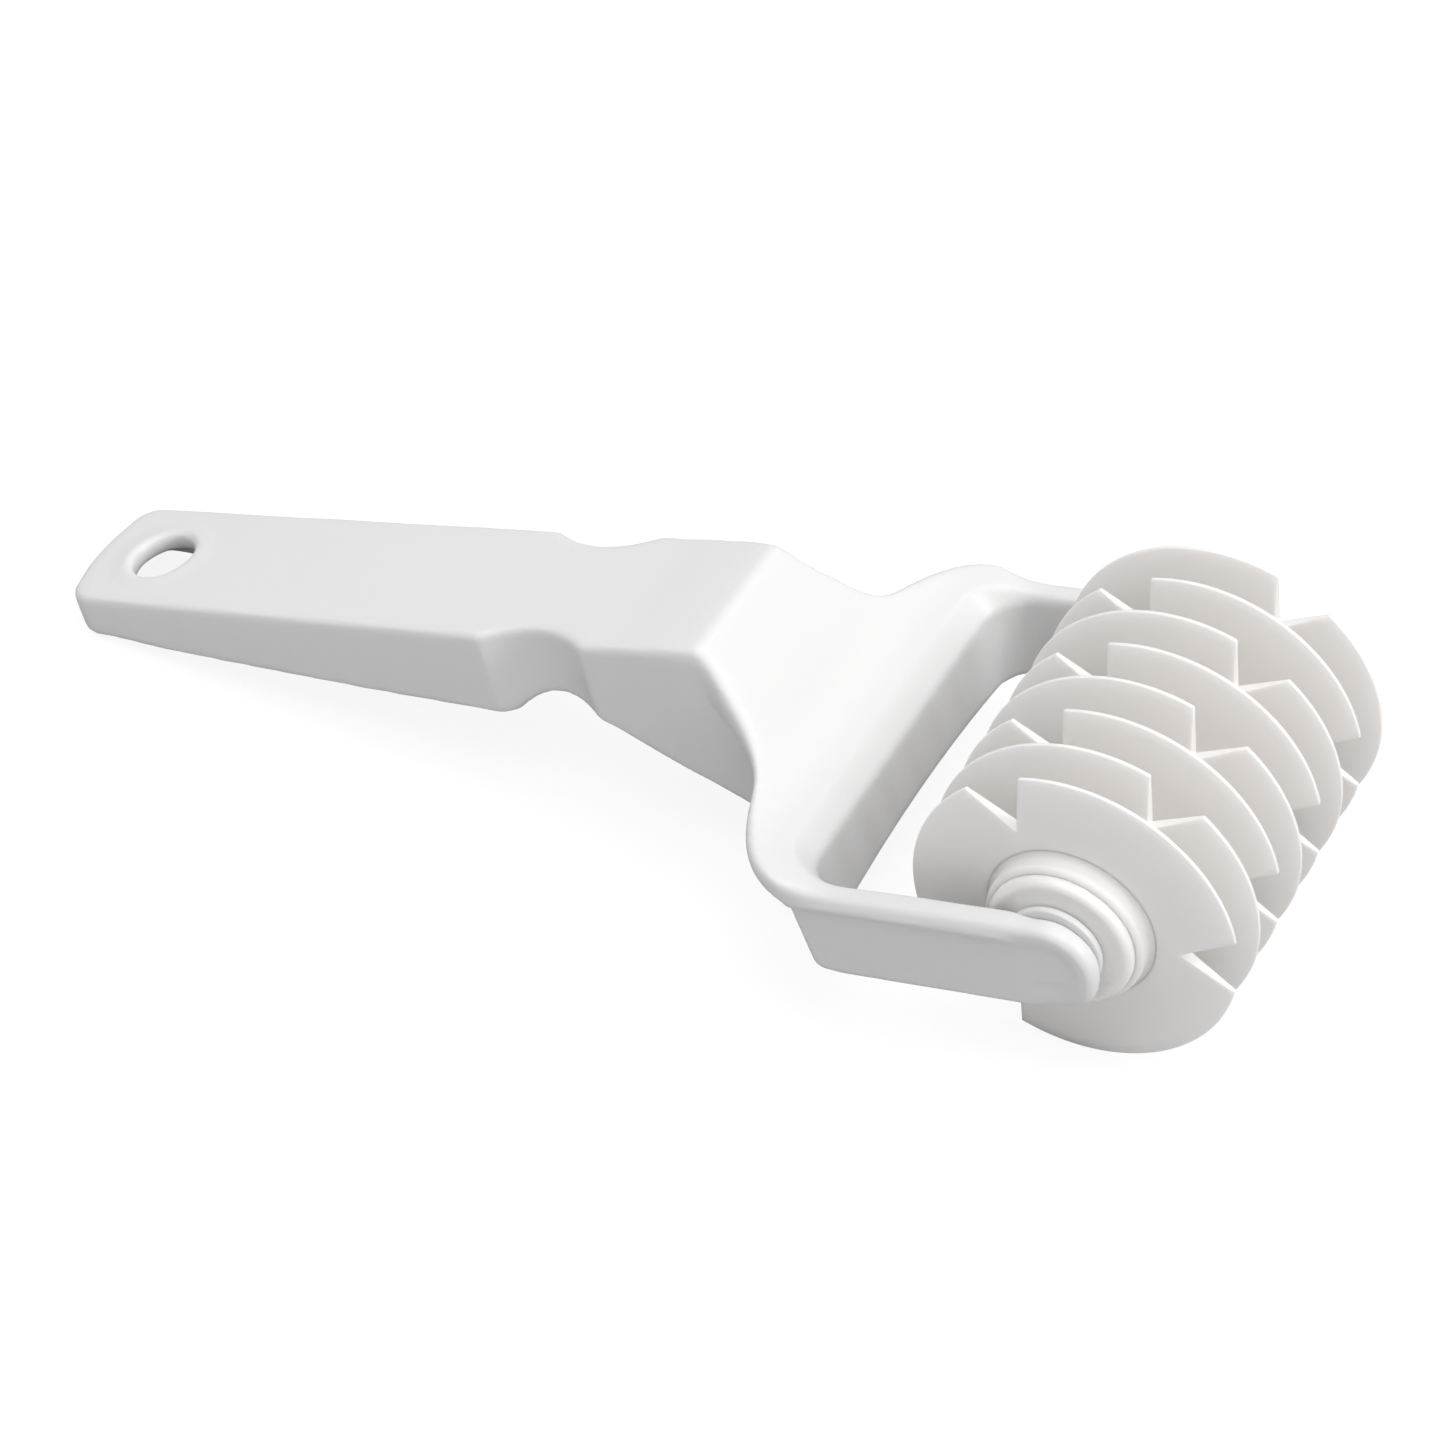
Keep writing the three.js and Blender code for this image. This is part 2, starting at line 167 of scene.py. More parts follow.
def moulded_skin_group():
    """A clouded colour, an uneven gloss and a fine grain, from one position."""
    group = bpy.data.node_groups.new("moulded_skin", "ShaderNodeTree")
    for name, kind in (
        ("Vector", "NodeSocketVector"),
        ("Tint", "NodeSocketColor"),
        ("Cloud tint", "NodeSocketColor"),
        ("Cloud scale", "NodeSocketFloat"),
        ("Grain scale", "NodeSocketFloat"),
        ("Gloss low", "NodeSocketFloat"),
        ("Gloss high", "NodeSocketFloat"),
    ):
        group.interface.new_socket(name=name, in_out="INPUT", socket_type=kind)
    for name, kind in (
        ("Color", "NodeSocketColor"),
        ("Roughness", "NodeSocketFloat"),
        ("Height", "NodeSocketFloat"),
    ):
        group.interface.new_socket(name=name, in_out="OUTPUT", socket_type=kind)
    inside = node(group, "NodeGroupInput").outputs
    outside = node(group, "NodeGroupOutput").inputs
    cloud = noise(group, inside["Vector"], inside["Cloud scale"], CLOUD_DETAIL)
    mix = node(group, "ShaderNodeMix", data_type="RGBA")
    colours = [socket for socket in mix.inputs if socket.type == "RGBA"]
    feed(group, mix.inputs["Factor"], cloud)
    feed(group, colours[0], inside["Tint"])
    feed(group, colours[1], inside["Cloud tint"])
    feed(group, outside["Color"], [s for s in mix.outputs if s.type == "RGBA"][0])
    gloss = node(group, "ShaderNodeMapRange")
    feed(group, gloss.inputs["Value"], cloud)
    feed(group, gloss.inputs["To Min"], inside["Gloss low"])
    feed(group, gloss.inputs["To Max"], inside["Gloss high"])
    feed(group, outside["Roughness"], gloss.outputs["Result"])
    grain = noise(group, inside["Vector"], inside["Grain scale"], GRAIN_DETAIL)
    feed(group, outside["Height"], grain)
    return group


MOULDED_SKIN = moulded_skin_group()
print("node group:", MOULDED_SKIN.name, "with", len(MOULDED_SKIN.nodes), "nodes")

# %% [markdown]
# ## The two plastics
# The handle is an opaque, neutral white with a satin gloss. The roller is moulded from a slightly
# warmer and milkier plastic: light goes a little way into it, so its thin blade edges look brighter
# than its faces. Subsurface scattering gives that, with a short radius because the blades are thin.

# %% Materials
GRAIN_HEIGHT = 0.02 * MM
GRAIN_SCALE = 1400.0
PLASTIC_IOR = 1.49


def moulded_plastic(name, skin, **shader_values):
    """A plastic with the moulded skin; the other values go straight to its shader."""
    material = bpy.data.materials.new(name)
    material.use_nodes = True
    tree = material.node_tree
    shader = found(tree, "BSDF_PRINCIPLED")
    coordinates = node(tree, "ShaderNodeTexCoord")
    surface = node(tree, "ShaderNodeGroup", node_tree=MOULDED_SKIN)
    feed(tree, surface.inputs["Vector"], coordinates.outputs["Object"])
    for label, value in skin.items():
        feed(tree, surface.inputs[label], value)
    bump = node(tree, "ShaderNodeBump")
    feed(tree, bump.inputs["Distance"], GRAIN_HEIGHT)
    feed(tree, bump.inputs["Height"], surface.outputs["Height"])
    feed(tree, shader.inputs["Base Color"], surface.outputs["Color"])
    feed(tree, shader.inputs["Roughness"], surface.outputs["Roughness"])
    feed(tree, shader.inputs["Normal"], bump.outputs["Normal"])
    for label, value in shader_values.items():
        feed(tree, shader.inputs[label.replace("_", " ")], value)
    return material


HANDLE_WHITE = moulded_plastic(
    "handle_white",
    {
        "Tint": (0.80, 0.80, 0.797, 1),
        "Cloud tint": (0.76, 0.76, 0.762, 1),
        "Cloud scale": 22.0,
        "Grain scale": GRAIN_SCALE,
        "Gloss low": 0.30,
        "Gloss high": 0.42,
    },
    IOR=PLASTIC_IOR,
)
ROLLER_WHITE = moulded_plastic(
    "roller_white",
    {
        "Tint": (0.93, 0.908, 0.893, 1),
        "Cloud tint": (0.918, 0.893, 0.876, 1),
        "Cloud scale": 35.0,
        "Grain scale": GRAIN_SCALE,
        "Gloss low": 0.36,
        "Gloss high": 0.48,
    },
    IOR=PLASTIC_IOR,
    Subsurface_Weight=1.0,
    Subsurface_Radius=(1.0, 1.0, 1.0),
    Subsurface_Scale=0.9 * MM,
)
print("materials:", HANDLE_WHITE.name, ROLLER_WHITE.name)

# %% [markdown]
# ## Handle and fork
# The handle, neck and fork are one moulding, and no edge on it is sharp. A Bevel modifier struggles
# where curved cuts cross, as they do at the shoulders. So the CAD solid is turned into a distance field
# instead: a grid of small cells, each holding how far it lies from the surface, negative inside. A flat
# face stays flat when such a field is blurred, and an edge becomes round, so the width of the blur is
# the softness of the edge. The tool lies tilted in the frame. Its copy is first turned level, with the
# axle at the origin.

# %% Distance field of the handle
TOOL_TILT = math.radians(14.593)
LEVEL_TO_FRAME = Matrix.Translation(AXLE) @ Matrix.Rotation(-TOOL_TILT, 4, "Y")
CELL = 0.5 * MM
BAND_CELLS = 9
WELD = 0.002 * MM


def level_copy(cad_name):
    """A CAD node's mesh with its doubles merged, turned level."""
    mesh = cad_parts[cad_name].data.copy()
    work = bmesh.new()
    work.from_mesh(mesh)
    bmesh.ops.remove_doubles(work, verts=work.verts, dist=WELD)
    bmesh.ops.triangulate(work, faces=work.faces)
    work.to_mesh(mesh)
    work.free()
    mesh.transform(LEVEL_TO_FRAME.inverted())
    return mesh


def distance_field(mesh):
    """The field's values, the grid index of its first cell, and the grid's transform."""
    points = np.empty(len(mesh.vertices) * 3, np.float32)
    mesh.vertices.foreach_get("co", points)
    corners = np.empty(len(mesh.polygons) * 3, np.int32)
    mesh.polygons.foreach_get("vertices", corners)
    transform = openvdb.createLinearTransform(voxelSize=CELL)
    grid = openvdb.FloatGrid.createLevelSetFromPolygons(
        points.reshape(-1, 3),
        triangles=corners.reshape(-1, 3),
        transform=transform,
        halfWidth=BAND_CELLS,
    )
    low, high = grid.evalActiveVoxelBoundingBox()
    values = np.empty([b - a + 1 for a, b in zip(low, high)], np.float32)
    grid.copyToArray(values, ijk=low)
    return values, low, transform


handle_field, first_cell, cell_grid = distance_field(level_copy("handle_fork"))
print("cells:", handle_field.shape)

# %% [markdown]
# ## How soft each edge is
# The moulding's edges differ. The ridge over the neck, the shoulders and the rim of the hanging hole
# are broad and soft, the arms have a round bead along their top, and the lower rim of the hollow handle
# is crisp. So the blur's width changes over the field. The places are measured level, from the axle: X
# along the tool, Z up. Both halves of the tool are alike, so its width is measured as the distance from
# the middle, called side. A zone that comes in gradually is a pair of lengths: where it starts, and the
# length over which it fades in.

# %% Places on the level tool
RIDGE_X = -60.4 * MM
HOLE_X = -167.3 * MM
HOLE_REACH = 9.0 * MM
HOLE_TOP = 27.8 * MM
GRIP_SLOPE = 0.0192
CROSSBAR_X = -39 * MM
OPENING_CORNER = 6.5 * MM
ARM_INNER = 34.025 * MM
ARM_SLOPE = math.radians(2.05)
ARM_END_X = 0.6 * MM
ARM_END_Z = -0.68 * MM


def rising(value, start, width):
    """0 below a start, 1 above start plus width, and smooth between them."""
    share = np.clip((value - start) / width, 0, 1)
    return share * share * (3 - 2 * share)


def from_opening(x, side):
    """How far a place lies outside the fork's opening, seen from above."""
    back = CROSSBAR_X + OPENING_CORNER - x
    out = side - ARM_INNER + OPENING_CORNER
    rim = np.hypot(np.maximum(back, 0), np.maximum(out, 0)) + np.minimum(np.maximum(back, out), 0)
    return rim - OPENING_CORNER


def arm_place(x, z):
    """How far a place lies along the arms and above their middle line, from the centre of their nose."""
    along = (x - ARM_END_X) * math.cos(ARM_SLOPE) - (z - ARM_END_Z) * math.sin(ARM_SLOPE)
    above = (x - ARM_END_X) * math.sin(ARM_SLOPE) + (z - ARM_END_Z) * math.cos(ARM_SLOPE)
    return along, above


axes = [CELL * (first + np.arange(count)) for first, count in zip(first_cell, handle_field.shape)]
level_x = axes[0][:, None, None]
level_side = np.abs(axes[1])[None, :, None]
level_z = axes[2][None, None, :]
for letter, axis in zip("XYZ", axes):
    print(letter, "of the cells in mm:", round(axis[0] / MM, 1), "to", round(axis[-1] / MM, 1))

# %% Softness of the arms
ARM_ROOT_X = CROSSBAR_X - 6 * MM
ARM_ROOT = (ARM_ROOT_X, 10 * MM)
ARM_TOP = (0, 3 * MM)
ARM_OUTSIDE = (ARM_INNER + 0.5 * MM, 1.5 * MM)
ARM_NOSE = (-7 * MM, 6 * MM)
BEAD_INNER = 4.35 * MM
BEAD_MARGIN = 0.6 * MM
BEAD_FADE = 1.2 * MM
NOSE_SPREAD = 2.8 * MM
BEAD_SOFT = 0.6 * MM
OUTSIDE_SOFT = 0.55 * MM
NOSE_SOFT = 1.3 * MM


def arm_softness(x, side, z):
    """The arms' round bead, which runs along their top and round their nose."""
    along, above = arm_place(x, z)
    nose = rising(along, *ARM_NOSE)
    bead_start = BEAD_INNER + BEAD_MARGIN - NOSE_SPREAD * nose
    bead = rising(np.hypot(np.maximum(along, 0), above), bead_start, BEAD_FADE)
    upper = np.maximum(rising(above, *ARM_TOP), nose)
    outer = BEAD_SOFT + OUTSIDE_SOFT * rising(side, *ARM_OUTSIDE)
    width = outer + (NOSE_SOFT - outer) * nose
    return rising(x, *ARM_ROOT) * bead * upper * width


print("bead softness in mm:", round(BEAD_SOFT / MM, 2), "and at the nose:", round(NOSE_SOFT / MM, 2))

# %% Softness of the whole handle
SHARP = 0.25 * MM
CRISP = 0.45 * MM
TOP_EDGE_SOFT = 0.2 * MM
TOP_EDGE = (HOLE_TOP - 4 * MM, 3 * MM)
LIP_REACH = 5.2 * MM
LIP_BEHIND = (0, 1 * MM)
LIP_INSIDE = (0, 1.2 * MM)
HOLE_SOFT = 1.15 * MM
HOLE_INSIDE = (0, 2 * MM)
HOLE_UPPER = (HOLE_TOP - 8 * MM, 2 * MM)
RIDGE_SOFT = 1.4 * MM
RIDGE_ALONG = (RIDGE_X - 18 * MM, 16 * MM)
RIDGE_UPPER = (17 * MM, 8 * MM)
NECK_SOFT = 1.1 * MM
NECK_ALONG = (RIDGE_X - 2 * MM, 4 * MM)
NECK_UPPER = (1 * MM, 8 * MM)
NECK_OUTSIDE = (4.6 * MM, 5 * MM)


def edge_softness(x, side, z):
    """The blur's width at a place on the level tool."""
    top_edge = rising(z - GRIP_SLOPE * (x - HOLE_X), *TOP_EDGE)
    lip = rising(CROSSBAR_X - x, *LIP_BEHIND) * rising(LIP_REACH - from_opening(x, side), *LIP_INSIDE)
    grip = CRISP + TOP_EDGE_SOFT * top_edge - (CRISP - SHARP) * lip
    hole = HOLE_SOFT * rising(HOLE_REACH - np.hypot(x - HOLE_X, side), *HOLE_INSIDE)
    hole = hole * rising(z, *HOLE_UPPER)
    ridge = RIDGE_SOFT * rising(x, *RIDGE_ALONG) * rising(z, *RIDGE_UPPER)
    neck = NECK_SOFT * rising(x, *NECK_ALONG) * rising(z, *NECK_UPPER)
    neck = neck * rising(from_opening(x, side), *NECK_OUTSIDE)
    softest = grip
    for zone in (hole, ridge, neck, arm_softness(x, side, z)):
        softest = np.maximum(softest, zone)
    return softest


wanted = edge_softness(level_x, level_side, level_z).astype(np.float32)
print("softness in mm:", round(float(wanted.min()) / MM, 2), "to", round(float(wanted.max()) / MM, 2))

# %% [markdown]
# Two small changes of shape go with the softness. The photograph shows the lower rims of the grip and
# of the arms a little deeper than the CAD solid has them, so the field is moved down there before the
# blur. A blurred edge also draws back a little. So the soft ridge, the neck and the hole's rim grow by
# as much afterwards, and the outline stays where the CAD solid has it.

# %% Lower rims
ARM_DROP = 0.6 * MM
NOSE_DROP = 0.5 * MM
NOSE_LOWER = (-8 * MM, 8 * MM)
ARM_BELOW = (0, 6 * MM)
ARM_START = (CROSSBAR_X - 2 * MM, 8 * MM)
GRIP_DROP = 0.6 * MM
GRIP_BELOW = (2 * MM, 6 * MM)
GRIP_TAIL = (-174 * MM, 14 * MM)
GRIP_FRONT_X = -90 * MM
GRIP_FRONT = (0, 45 * MM)
LAST_CELL_GAP = 0.001


def drop(x, z):
    """How far the lower rims of the grip and of the arms reach down past the CAD solid."""
    along, above = arm_place(x, z)
    arms = (ARM_DROP + NOSE_DROP * rising(along, *NOSE_LOWER)) * rising(-above, *ARM_BELOW)
    arms = arms * rising(x, *ARM_START)
    below_top = HOLE_TOP + GRIP_SLOPE * (x - HOLE_X) - z
    grip = GRIP_DROP * rising(below_top, *GRIP_BELOW)
    grip = grip * rising(x, *GRIP_TAIL) * rising(GRIP_FRONT_X - x, *GRIP_FRONT)
    return arms + grip


def lowered(field, amount):
    """The field moved down by an amount that changes from place to place."""
    last = field.shape[2] - 1
    place = np.minimum(np.arange(last + 1) + amount / CELL, last - LAST_CELL_GAP)
    cell = place.astype(np.intp)
    share = (place - cell).astype(np.float32)
    lower = np.take_along_axis(field, cell, axis=2)
    upper = np.take_along_axis(field, cell + 1, axis=2)
    return lower + share * (upper - lower)


rim_drop = drop(level_x, level_z)
handle_field = lowered(handle_field, rim_drop)
print("lower rims moved down in mm: up to", round(float(rim_drop.max()) / MM, 2))

# %% Growth against the blur
NECK_GROWTH = 0.6 * MM
GROWTH_ALONG = (RIDGE_X - 20 * MM, 18 * MM)
GROWTH_UPPER = (2 * MM, 20 * MM)
GROWTH_OUTSIDE = (5 * MM, 12 * MM)
HOLE_GROWTH = 0.4 * MM
HOLE_AROUND = (0, 4 * MM)


def outline_growth(x, side, z):
    """How far the ridge, the neck and the hole's rim grow, to make up for what the blur takes."""
    neck = rising(x, *GROWTH_ALONG) * rising(z, *GROWTH_UPPER)
    neck = neck * rising(from_opening(x, side), *GROWTH_OUTSIDE)
    hole = rising(HOLE_REACH - np.hypot(x - HOLE_X, side), *HOLE_AROUND)
    return NECK_GROWTH * neck + HOLE_GROWTH * hole


growth = outline_growth(level_x, level_side, level_z).astype(np.float32)
print("growth in mm: up to", round(float(growth.max()) / MM, 2))

# %% [markdown]
# A blur as wide as a wall would eat the wall away. The field itself tells how thick a wall is, because
# its lowest value inside the wall is minus half the thickness. That limits the softness. A blur whose
# width changes from place to place is made by mixing a few blurs of fixed widths.

# %% Helpers for the blur
BLUR_WIDTHS = [SHARP, CRISP, 0.75 * MM, 1.1 * MM, 1.5 * MM]
BLUR_REACH = 2.8
WALL_CELLS = 5


def blurred(field, width):
    """The field with a bell-shaped blur, one axis after another."""
    cells = width / CELL
    reach = math.ceil(BLUR_REACH * cells)
    bell = np.exp(-0.5 * (np.arange(-reach, reach + 1) / cells) ** 2)
    bell /= bell.sum()
    for axis in range(3):
        count = field.shape[axis]
        margin = [(reach, reach) if a == axis else (0, 0) for a in range(3)]
        padded = np.moveaxis(np.pad(field, margin, mode="edge"), axis, 0)
        total = sum(np.float32(share) * padded[k:k + count] for k, share in enumerate(bell))
        field = np.moveaxis(total, 0, axis)
    return field


def half_wall(field):
    """Half the thickness of the wall that a cell belongs to or lies beside."""
    for axis in range(3):
        lowest = field
        for shift in range(1, WALL_CELLS + 1):
            lowest = np.minimum(lowest, np.roll(field, shift, axis))
            lowest = np.minimum(lowest, np.roll(field, -shift, axis))
        field = lowest
    return -field


def softened(field, widths):
    """The field with a blur that is as wide at each place as the widths say."""
    level = np.interp(widths, BLUR_WIDTHS, np.arange(len(BLUR_WIDTHS))).astype(np.float32)
    soft = np.zeros_like(field)
    for index, width in enumerate(BLUR_WIDTHS):
        share = np.clip(1 - np.abs(level - index), 0, 1)
        soft += share * blurred(field, width)
    return soft


# %% [markdown]
# The axle's sockets are filled for the blur and cut again afterwards. The fine crease between the arms'
# bead and their flat panel is cut again too, because the blur softens it. The low bosses round the
# sockets, which the roller's caps run against, are taken off here and made as rings further down.

# %% Blur the field
WALL_SHARE = 0.75
WALL_BLUR = 1.5 * MM
ROLLER_BACK_X = CROSSBAR_X / 2
PLUG_RADIUS = 5.0 * MM
PLUG_ROOT = 37.2 * MM
SOCKET_RADIUS = 4.0 * MM
SOCKET_END = 36.7 * MM
PANEL_FACE = 37.525 * MM
PANEL_OUT = 1 * MM
PANEL_END = (-14 * MM, 8 * MM)


def round_bar(radius, low, high):
    """The distance field of two round bars about the axle, between two distances from the middle."""
    ends = np.maximum(low - level_side, level_side - high)
    return np.maximum(np.hypot(level_x, level_z) - radius, ends).astype(np.float32)


def panel_space(x, side, z):
    """The distance field of the space beside the arms' panels, under the bead, up to the nose."""
    along, above = arm_place(x, z)
    face = PANEL_FACE + PANEL_OUT * rising(along, *PANEL_END)
    space = np.maximum(np.maximum(above - BEAD_INNER, face - side), ARM_ROOT_X - x)
    return space.astype(np.float32)


beside_roller = np.where(level_x > ROLLER_BACK_X, ARM_INNER - level_side, -BAND_CELLS * CELL)
bossless = np.maximum(handle_field, beside_roller.astype(np.float32))
bossless = np.minimum(bossless, round_bar(PLUG_RADIUS, ARM_INNER, PLUG_ROOT))
softness = np.minimum(wanted, WALL_SHARE * blurred(half_wall(bossless), WALL_BLUR))
softness = np.maximum(softness, np.minimum(wanted, CRISP)).astype(np.float32)
soft_field = softened(bossless, softness) - growth
soft_field = np.maximum(soft_field, -panel_space(level_x, level_side, level_z))
soft_field = np.maximum(soft_field, -round_bar(SOCKET_RADIUS, 0, SOCKET_END))
print("cells inside the handle:", int((soft_field < 0).sum()))

# %% [markdown]
# The surface is where the blurred field is zero. It comes back as small even quads. Long flat stretches
# don't need that many, so a Decimate modifier thins them, and the handle is laid back at its tilt.

# %% Helpers for pieces
def link(name, data):
    """A new object for a mesh or a lamp, put into the scene."""
    made = bpy.data.objects.new(name, data)
    bpy.context.scene.collection.objects.link(made)
    return made


def settled(piece):
    """Replaces a piece's mesh by its evaluated one and takes its modifiers off."""
    depsgraph = bpy.context.evaluated_depsgraph_get()
    mesh = bpy.data.meshes.new_from_object(
        piece.evaluated_get(depsgraph), preserve_all_data_layers=True, depsgraph=depsgraph
    )
    piece.modifiers.clear()
    piece.data = mesh
    return piece


def outward(piece):
    """Merges doubles, turns every face outwards and prints what the piece encloses."""
    work = bmesh.new()
    work.from_mesh(piece.data)
    bmesh.ops.remove_doubles(work, verts=work.verts, dist=WELD)
    bmesh.ops.recalc_face_normals(work, faces=work.faces)
    open_edges = [edge for edge in work.edges if not edge.is_manifold]
    volume = work.calc_volume(signed=True)
    work.to_mesh(piece.data)
    work.free()
    print(piece.name, "volume in mm3:", round(volume / MM ** 3, 1), "open edges:", len(open_edges))
    return piece


def shade_smooth(piece, steep=None):
    """Shades a piece smooth, apart from its edges above a steep angle, where one is given."""
    piece.data.polygons.foreach_set("use_smooth", [True] * len(piece.data.polygons))
    if steep is not None:
        piece.data.set_sharp_from_angle(angle=steep)


# %% Surface of the handle
HANDLE_TRIANGLES = 190000


def zero_surface(name, field):
    """The surface where a field is zero, as an object of small quads."""
    grid = openvdb.FloatGrid(BAND_CELLS * CELL)
    grid.transform = cell_grid
    grid.copyFromArray(field, ijk=first_cell)
    points, quads = grid.convertToQuads()
    mesh = bpy.data.meshes.new(name)
    mesh.from_pydata(points.tolist(), [], quads.tolist())
    return link(name, mesh)


handle = outward(zero_surface("handle", soft_field))
thin = handle.modifiers.new("thin", "DECIMATE")
thin.ratio = min(1.0, HANDLE_TRIANGLES / (2 * len(handle.data.polygons)))
print("handle quads:", len(handle.data.polygons))
settled(handle)
handle.data.transform(LEVEL_TO_FRAME)
shade_smooth(handle)
handle.data.materials.append(HANDLE_WHITE)
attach(handle, "handle")
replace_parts(handle, "handle_fork")
print("handle triangles:", sum(len(face.vertices) - 2 for face in handle.data.polygons))

# %% [markdown]
# ## Cutter discs
# A disc follows a rule: a flat hub, a blade that thins towards its rim, and V notches spaced evenly
# round it. Geometry Nodes suit a rule. A plain grid is wrapped into one sector of the disc: one
# direction of the grid runs round the axle from notch to notch, the other runs out over one face and
# back over the other. The sector is repeated round the axle, and the disc along it, with every second
# disc turned half a sector.

# %% Helpers for trees
def new_tree(name, sizes):
    """An empty Geometry Nodes tree with a named input for each size and one mesh as its output."""
    tree = bpy.data.node_groups.new(name, "GeometryNodeTree")
    for label, kind in sizes.items():
        tree.interface.new_socket(name=label, in_out="INPUT", socket_type="NodeSocket" + kind)
    tree.interface.new_socket(name="Mesh", in_out="OUTPUT", socket_type="NodeSocketGeometry")
    return tree, node(tree, "NodeGroupInput").outputs


def calc(tree, operation, *values):
    """One Math node; its inputs are sockets or numbers."""
    made = node(tree, "ShaderNodeMath", operation=operation)
    for socket, value in zip(made.inputs, values):
        feed(tree, socket, value)
    return made.outputs[0]


def ramp(tree, value, start, end, low, high):
    """A value that runs from low to high while another runs from start to end, and stays within them."""
    made = node(tree, "ShaderNodeMapRange", clamp=True)
    for socket, given in zip(made.inputs, (value, start, end, low, high)):
        feed(tree, socket, given)
    return made.outputs["Result"]


def point(tree, x, y, z):
    """A vector from three sockets or numbers."""
    made = node(tree, "ShaderNodeCombineXYZ")
    for socket, value in zip(made.inputs, (x, y, z)):
        feed(tree, socket, value)
    return made.outputs["Vector"]


def copies(tree, shape, count, step, turn):
    """Copies of a shape on a row of points, each turned by a rotation that may depend on its index."""
    row = node(tree, "GeometryNodeMeshLine")
    feed(tree, row.inputs["Count"], count)
    feed(tree, row.inputs["Offset"], step)
    placed = node(tree, "GeometryNodeInstanceOnPoints")
    feed(tree, placed.inputs["Points"], row.outputs["Mesh"])
    feed(tree, placed.inputs["Instance"], shape)
    feed(tree, placed.inputs["Rotation"], turn)
    made = node(tree, "GeometryNodeRealizeInstances")
    feed(tree, made.inputs["Geometry"], placed.outputs["Instances"])
    return made.outputs["Geometry"]


def finish_tree(tree, shape, place, turn, material):
    """Moves a tree's mesh to its place, gives it its material and ends the tree."""
    moved = node(tree, "GeometryNodeTransform")
    feed(tree, moved.inputs["Geometry"], shape)
    feed(tree, moved.inputs["Translation"], place)
    feed(tree, moved.inputs["Rotation"], turn)
    realized = node(tree, "GeometryNodeRealizeInstances")
    feed(tree, realized.inputs["Geometry"], moved.outputs["Geometry"])
    painted = node(tree, "GeometryNodeSetMaterial")
    feed(tree, painted.inputs["Geometry"], realized.outputs["Geometry"])
    feed(tree, painted.inputs["Material"], material)
    feed(tree, node(tree, "NodeGroupOutput").inputs["Mesh"], painted.outputs["Geometry"])
    return tree


def made_by(tree, name, sizes):
    """Runs a tree with the given sizes and keeps its result as a plain mesh."""
    piece = link(name, bpy.data.meshes.new(name))
    modifier = piece.modifiers.new("tree", "NODES")
    modifier.node_group = tree
    for item in tree.interface.items_tree:
        if item.in_out == "INPUT":
            modifier[item.identifier] = sizes[item.name]
    return settled(piece)


# %% Tree for the stack of discs
SECTOR_STEPS = 56
FACE_RINGS = 9
FLANK_SHARE = 0.25
HUB_SHARE = 0.5


